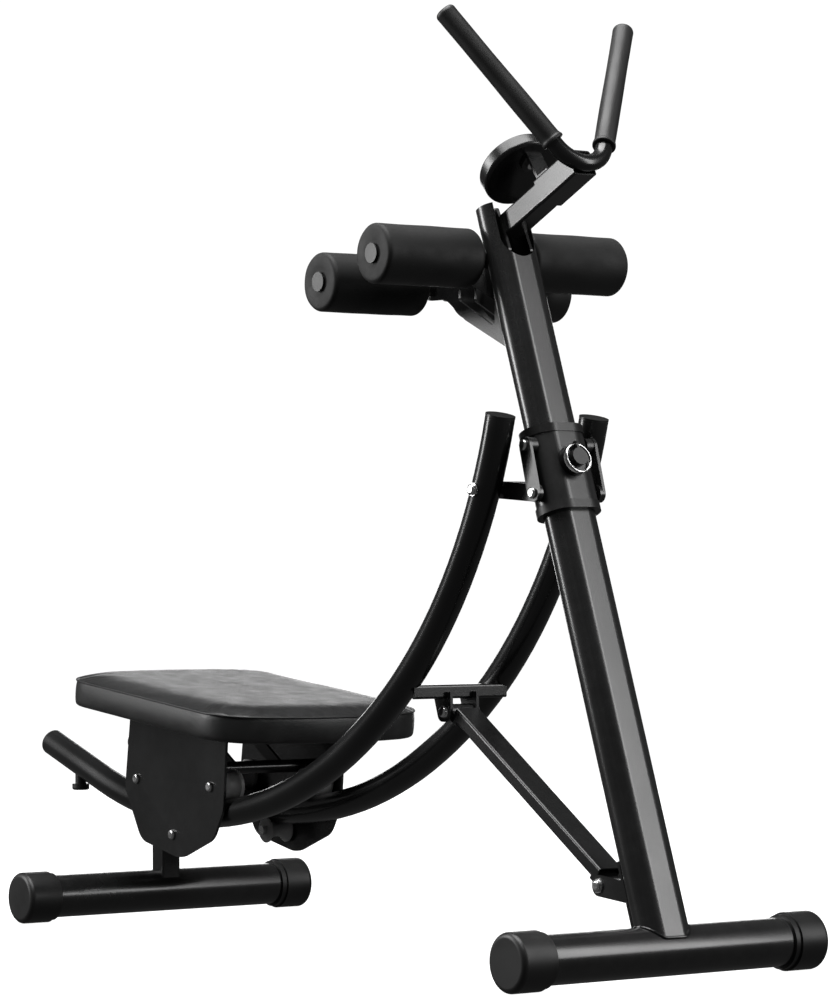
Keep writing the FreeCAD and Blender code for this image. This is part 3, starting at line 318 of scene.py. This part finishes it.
def lathe(name, profile, base, direction, material, steps=72, wobble=0.0, seed=0.0):
    """Turns (distance along, radius) points round an axis; wobble adds soft unevenness."""
    d = Vector(direction).normalized()
    a = d.orthogonal().normalized()
    b = d.cross(a)
    rings = []
    for s, r in profile:
        ring = []
        for i in range(steps):
            t = 2 * math.pi * i / steps
            out = a * math.cos(t) + b * math.sin(t)
            k = wobble * noise.noise(out * 1.7 + d * (s * 22.0 + seed)) if wobble else 0.0
            ring.append(Vector(base) + d * s + out * (r + k))
        rings.append(ring)
    return add_object(name, grid_mesh(name, rings, False), material)


def smooth_more(obj, levels=1):
    sub = obj.modifiers.new("detail", "SUBSURF")
    sub.levels = levels
    sub.render_levels = levels


def curve_tube(name, points, radius, material, closed=False):
    c = bpy.data.curves.new(name, "CURVE")
    c.dimensions = "3D"
    c.bevel_depth = radius
    c.bevel_resolution = 4
    s = c.splines.new("POLY")
    s.points.add(len(points) - 1)
    for p, q in zip(s.points, points):
        p.co = (q[0], q[1], q[2], 1.0)
    s.use_cyclic_u = closed
    obj = bpy.data.objects.new(name, c)
    scene.collection.objects.link(obj)
    c.materials.append(material)
    return obj


# ---------------------------------------------------------------- knee pad
PAD_TILT = math.radians(6.3)
PAD_L, PAD_W, PAD_T = 0.476, 0.342, 0.045
PAD_R, PAD_END_R = 0.070, 0.500
lo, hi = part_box("knee_pad")
# middle of the pad's top face: the middle of its box, raised along the tilt by half its thickness
pad_mid = Vector(((lo[0] + hi[0]) / 2.0, 0.0, (lo[2] + hi[2]) / 2.0))
tilt = Matrix.Rotation(PAD_TILT, 4, "Y")
pad_mid -= tilt @ Vector((0, 0, -PAD_T / 2.0))
pad_matrix = Matrix.Translation(pad_mid) @ tilt


def pad_outline(inset, count=240):
    """Evenly spaced points of the plan outline, a given distance inside it."""
    hx, hy = PAD_L / 2 - inset, PAD_W / 2 - inset
    r, big = max(PAD_R - inset, 0.006), PAD_END_R - inset
    cy = hy - r
    a = math.asin(cy / (big - r))
    cx = hx - big + (big - r) * math.cos(a)
    pts = []
    for i in range(40):
        t = -a + 2 * a * i / 40
        pts.append((hx - big + big * math.cos(t), big * math.sin(t)))
    for i in range(40):
        t = a + (math.pi / 2 - a) * i / 40
        pts.append((cx + r * math.cos(t), cy + r * math.sin(t)))
    for i in range(60):
        pts.append((cx - 2 * cx * i / 60, hy))
    half = list(pts)
    # the other half by turning
    rear = []
    for i in range(40):
        t = (math.pi / 2 - a) * i / 40
        rear.append((-cx - r * math.sin(t), cy + r * math.cos(t)))
    half += rear
    full = half + [(-x, -y) for x, y in half]
    # resample by length
    total = [0.0]
    for i in range(len(full)):
        p, q = full[i], full[(i + 1) % len(full)]
        total.append(total[-1] + math.hypot(q[0] - p[0], q[1] - p[1]))
    out = []
    j = 0
    for i in range(count):
        want = total[-1] * i / count
        while total[j + 1] < want:
            j += 1
        k = (want - total[j]) / max(total[j + 1] - total[j], 1e-9)
        p, q = full[j], full[(j + 1) % len(full)]
        out.append((p[0] + (q[0] - p[0]) * k, p[1] + (q[1] - p[1]) * k))
    return out


def make_pad():
    levels = [(-0.0445, 0.013), (-0.0440, 0.006), (-0.0425, 0.0028), (-0.039, 0.0016), (-0.033, 0.0012),
              (-0.026, 0.0010), (-0.019, 0.0012), (-0.013, 0.0018), (-0.0095, 0.0026), (-0.0085, 0.0034),
              (-0.0070, 0.0030), (-0.0050, 0.0042), (-0.0032, 0.0068)]
    top = [0.012, 0.020, 0.030, 0.044, 0.062, 0.084, 0.108, 0.132, 0.150, 0.162]
    rings = [[(x, y, z) for x, y in pad_outline(inset)] for z, inset in levels]
    half_l, half_w = PAD_L / 2, PAD_W / 2
    edge_inset = 0.0068
    edge_x, edge_y = 1 - edge_inset / half_l, 1 - edge_inset / half_w
    edge = pad_outline(edge_inset)
    # the top closes in by scaling the edge, and rises to its full height over the crown's width
    edge_drop, first_rise, crown_rise, crown_width = -0.0036, 0.0012, 0.0022, 0.05
    for inset in top:
        kx, ky = 1 - inset / half_l, 1 - inset / half_w
        rise = first_rise + crown_rise * min(1.0, inset / crown_width)
        rings.append([(x * kx / edge_x, y * ky / edge_y, edge_drop + rise) for x, y in edge])
    mesh = grid_mesh("knee_pad_cover", rings)
    obj = add_object("knee_pad_cover", mesh, M_VINYL)
    n = len(rings[0])
    pinned = list(range(0, 3 * n)) + list(range(9 * n, 11 * n))
    pinned.append(len(rings) * n)
    return obj, pinned


def inflate(obj, pinned, pressure=3.0, frames=20, cap=0.004):
    """Swells a cover between its pinned seams with a short cloth simulation, then applies it."""
    rest = [v.co.copy() for v in obj.data.vertices]
    group = obj.vertex_groups.new(name="pin")
    group.add(pinned, 1.0, "REPLACE")
    cloth = obj.modifiers.new("cloth", "CLOTH")
    st = cloth.settings
    st.quality = 6
    st.mass = 0.3
    st.tension_stiffness = 22
    st.compression_stiffness = 22
    st.shear_stiffness = 12
    st.bending_stiffness = 0.8
    st.use_pressure = True
    st.uniform_pressure_force = pressure
    st.vertex_group_mass = "pin"
    st.effector_weights.gravity = 0.0
    cloth.collision_settings.use_collision = False
    cloth.point_cache.frame_start = 1
    cloth.point_cache.frame_end = frames
    for f in range(1, frames + 1):
        scene.frame_set(f)
    dg = bpy.context.evaluated_depsgraph_get()
    done = bpy.data.meshes.new_from_object(obj.evaluated_get(dg))
    moved = [v.co.copy() for v in done.vertices]
    obj.modifiers.remove(cloth)
    obj.vertex_groups.clear()
    for v, a, b in zip(obj.data.vertices, rest, moved):
        d = b - a
        if d.length > cap:
            d = d.normalized() * cap
        v.co = a + d
    bpy.data.meshes.remove(done)
    scene.frame_set(1)


pad, pad_pins = make_pad()
inflate(pad, pad_pins)
for v in pad.data.vertices:
    if v.co.z > -0.004:
        soft = noise.noise(Vector((v.co.x * 9, v.co.y * 9, 3.0))) * 0.0007
        v.co.z = min(v.co.z + soft, 0.0035)
pad.data.transform(pad_matrix)
smooth_more(pad)
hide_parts("knee_pad")
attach(pad, "carriage")

welt_points = [pad_matrix @ Vector((x, y, -0.0080)) for x, y in pad_outline(0.0022)]
welt = curve_tube("knee_pad_welt", welt_points, 0.0014, M_WELT, True)
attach(welt, "carriage")


# ---------------------------------------------------------------- foam rollers and grips
def foam_roller(nodename, body):
    lo, hi = (Vector(p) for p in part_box(nodename))
    mid = (lo + hi) / 2
    length = hi.y - lo.y
    r = (hi.z - lo.z) / 2
    bore = 0.0116
    e = 0.0065
    prof = [(0.0016, bore), (0.0012, bore + 0.004), (0.0, bore + 0.010), (0.0, r - e * 1.4)]
    for i in range(1, 7):
        t = math.pi / 2 * i / 6
        prof.append((e - e * math.cos(t), r - e + e * math.sin(t)))
    steps = 26
    for i in range(1, steps):
        prof.append((e + (length - 2 * e) * i / steps, r))
    back = [(length - s, q) for s, q in prof[:10]]
    prof += list(reversed(back))
    inner = [(length * 0.7, bore), (length * 0.3, bore)]
    prof += inner
    prof.append(prof[0])
    obj = lathe(nodename + "_soft", prof, (mid.x, lo.y, mid.z), (0, 1, 0), M_FOAM, 96, 0.0006, mid.x * 50)
    smooth_more(obj)
    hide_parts(nodename)
    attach(obj, body)


for name in ("foam_top_left", "foam_top_right", "foam_low_left", "foam_low_right"):
    foam_roller(name, name)

V_LEAN = math.radians(28.0)     # the handles lean back
V_HALF = math.radians(28.7)     # and spread apart, each by this much
GRIP_LEN = 0.215
GRIP_R = 0.0135


def grip(nodename, side):
    upright = math.cos(V_HALF)
    d = Vector((-upright * math.sin(V_LEAN), side * math.sin(V_HALF), upright * math.cos(V_LEAN)))
    lo, hi = (Vector(p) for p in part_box(nodename))
    base = (lo + hi) / 2 - d * (GRIP_LEN / 2 + 0.0004)
    prof = [(0.0, 0.0112), (0.0002, GRIP_R + 0.0008), (0.0010, GRIP_R + 0.0015), (0.0034, GRIP_R + 0.0015),
            (0.0048, GRIP_R + 0.0011), (0.0060, GRIP_R + 0.0001)]
    steps = 60
    for i in range(1, steps):
        s = 0.0065 + (GRIP_LEN - 0.013) * i / steps
        prof.append((s, GRIP_R - 0.0001 + 0.00022 * math.sin(s * 30)))
    e = 0.006
    for i in range(0, 9):
        t = math.pi / 2 * i / 8
        prof.append((GRIP_LEN - e + e * math.sin(t), GRIP_R - e + e * math.cos(t)))
    prof.append((GRIP_LEN - 0.0001, 0.0035))
    prof.append((GRIP_LEN - 0.0012, 0.0025))
    prof.append((GRIP_LEN - 0.0014, 0.0002))
    obj = lathe(nodename + "_soft", prof, base, d, M_GRIP, 64, 0.00025, 5.0 + side)
    smooth_more(obj)
    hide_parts(nodename)
    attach(obj, "main_frame")


grip("grip_left", 1.0)
grip("grip_right", -1.0)


# ---------------------------------------------------------------- monitor face
def monitor_face():
    out = Vector((-math.sqrt(0.5), 0, math.sqrt(0.5)))
    up = Vector((math.sqrt(0.5), 0, math.sqrt(0.5)))
    side = Vector((0, 1, 0))
    lo, hi = (Vector(p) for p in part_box("monitor_screen"))
    mid = (lo + hi) / 2 + out * 0.0012
    w, h, corner, raised = 0.022, 0.012, 0.003, 0.006
    pts = []
    cw, ch = w - corner, h - corner
    for cx, cy, a0 in ((cw, ch, 0), (-cw, ch, 90), (-cw, -ch, 180), (cw, -ch, 270)):
        for i in range(7):
            t = math.radians(a0 + 15 * i)
            pts.append((cx + corner * math.cos(t), cy + corner * math.sin(t)))
    rings = [[mid + side * x * k + up * (raised + y * k) + out * z for x, y in pts]
             for k, z in ((1.0, -0.0006), (1.0, 0.0), (0.97, 0.0003), (0.6, 0.0003), (0.2, 0.0003))]
    obj = add_object("monitor_lcd", grid_mesh("monitor_lcd", rings), M_LCD)
    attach(obj, "main_frame")


monitor_face()


# ---------------------------------------------------------------- weld beads
def bead(name, points, body, closed=True, radius=0.0021):
    uneven = []
    for i, p in enumerate(points):
        k = 0.00045 * noise.noise(Vector(p) * 260.0)
        uneven.append(Vector(p) + Vector((k, k, k)))
    obj = curve_tube(name, uneven, radius, M_PAINT, closed)
    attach(obj, body)


LEAN = math.radians(19.43)


def post_weld():
    flat, r = 0.0125, 0.0225          # half the post's straight side, and its round ends
    post_ahead = 0.0198               # middle of the post, ahead of the tube's axis
    tube_up, seat_r = 0.036, 0.0305   # the tube's axis, and where the bead sits round it
    pts = []
    n = 96
    for i in range(n):
        t = 2 * math.pi * i / n
        s = 1 if math.sin(t) >= 0 else -1
        u = r * math.cos(t)
        y = s * flat + r * math.sin(t)
        # along the post until it meets the round tube
        x0, z0 = post_ahead + u * math.cos(LEAN), u * math.sin(LEAN)
        dx, dz = -math.sin(LEAN), math.cos(LEAN)
        ox, oz = x0, z0 - tube_up
        b = ox * dx + oz * dz
        c = ox * ox + oz * oz - seat_r ** 2
        w = -b + math.sqrt(max(b * b - c, 0.0))
        pts.append((FRONT + x0 + dx * w, y, z0 + dz * w))
    bead("post_weld", pts, "main_frame")


post_weld()


# ---------------------------------------------------------------- floor, light, camera
FILL = 0.08           # strength of the even light from all round
BACKDROP = 1.05       # what the camera sees beyond the floor
FLOOR_GLOW = 1.02
FLOOR_HALF = 30.0


def stage():
    m, t, b = new_material("floor_white")
    v = coords(t)
    stops = [(0.3, grey(0.30)), (0.7, grey(0.34))]
    t.links.new(ramp(t, noise_tex(t, v, 3.0, 3.0), stops), b.inputs["Base Color"])
    b.inputs["Roughness"].default_value = 0.9
    b.inputs["Specular IOR Level"].default_value = 0.1
    b.inputs["Emission Color"].default_value = (1, 1, 1, 1)
    b.inputs["Emission Strength"].default_value = FLOOR_GLOW
    mesh = bpy.data.meshes.new("floor")
    s = FLOOR_HALF
    mesh.from_pydata([(-s, -s, 0), (s, -s, 0), (s, s, 0), (-s, s, 0)], [], [(0, 1, 2, 3)])
    obj = bpy.data.objects.new("floor", mesh)
    mesh.materials.append(m)
    scene.collection.objects.link(obj)
    # the glowing floor is a backdrop only; it neither lights the machine nor shows in its reflections
    obj.visible_diffuse = False
    obj.visible_glossy = False
    world = bpy.data.worlds.new("studio")
    world.use_nodes = True
    wt = world.node_tree
    bg = wt.nodes["Background"]
    bg.inputs["Color"].default_value = (1, 1, 1, 1)
    bg.inputs["Strength"].default_value = FILL
    backdrop = wt.nodes.new("ShaderNodeBackground")
    backdrop.inputs["Color"].default_value = (1, 1, 1, 1)
    backdrop.inputs["Strength"].default_value = BACKDROP
    pick = wt.nodes.new("ShaderNodeMixShader")
    path = wt.nodes.new("ShaderNodeLightPath")
    wt.links.new(path.outputs["Is Camera Ray"], pick.inputs["Fac"])
    wt.links.new(bg.outputs[0], pick.inputs[1])
    wt.links.new(backdrop.outputs[0], pick.inputs[2])
    wt.links.new(pick.outputs[0], wt.nodes["World Output"].inputs["Surface"])
    scene.world = world


def area(name, place, target, size, energy):
    data = bpy.data.lights.new(name, "AREA")
    data.shape = "RECTANGLE"
    data.size, data.size_y = size
    data.energy = energy
    obj = bpy.data.objects.new(name, data)
    obj.location = place
    obj.rotation_euler = (Vector(target) - Vector(place)).to_track_quat("-Z", "Y").to_euler()
    scene.collection.objects.link(obj)


# name, place, aimed at, size, watts
LIGHTS = [
    ("top_soft", (0.2, -0.5, 3.2), (0, 0, 0.4), (2.4, 2.4), 150),
    ("left_soft", (-2.2, -2.6, 1.7), (-0.2, 0, 0.5), (0.9, 2.4), 95),
    ("right_soft", (2.6, 1.6, 1.6), (0.2, 0, 0.5), (0.6, 2.4), 40),
    ("back_low", (-3.2, 2.3, 0.75), (-0.3, 0, 0.36), (2.6, 1.3), 28),
]

stage()
for row in LIGHTS:
    area(*row)

CAMERA_PLACE = (FRONT + 3.381, -2.7631, 0.4666)
CAMERA_YAW, CAMERA_PITCH, CAMERA_ROLL = 144.556, 1.443, -0.247
SENSOR = 36.0
LENS_PER_SENSOR = 3.637

yaw, pitch, roll = (math.radians(d) for d in (CAMERA_YAW, CAMERA_PITCH, CAMERA_ROLL))
forward = Vector((math.cos(pitch) * math.cos(yaw), math.cos(pitch) * math.sin(yaw), math.sin(pitch)))
right = forward.cross(Vector((0, 0, 1))).normalized()
up = right.cross(forward)
rolled_right = right * math.cos(roll) + up * math.sin(roll)
rolled_up = up * math.cos(roll) - right * math.sin(roll)
cam_data = bpy.data.cameras.new("camera")
cam_data.sensor_width = SENSOR
cam_data.lens = SENSOR * LENS_PER_SENSOR
cam_data.clip_end = 100.0
cam = bpy.data.objects.new("camera", cam_data)
cam.matrix_world = Matrix.Translation(CAMERA_PLACE) @ Matrix(
    (rolled_right, rolled_up, -forward)).transposed().to_4x4()
scene.collection.objects.link(cam)
scene.camera = cam
scene.view_settings.view_transform = "Standard"
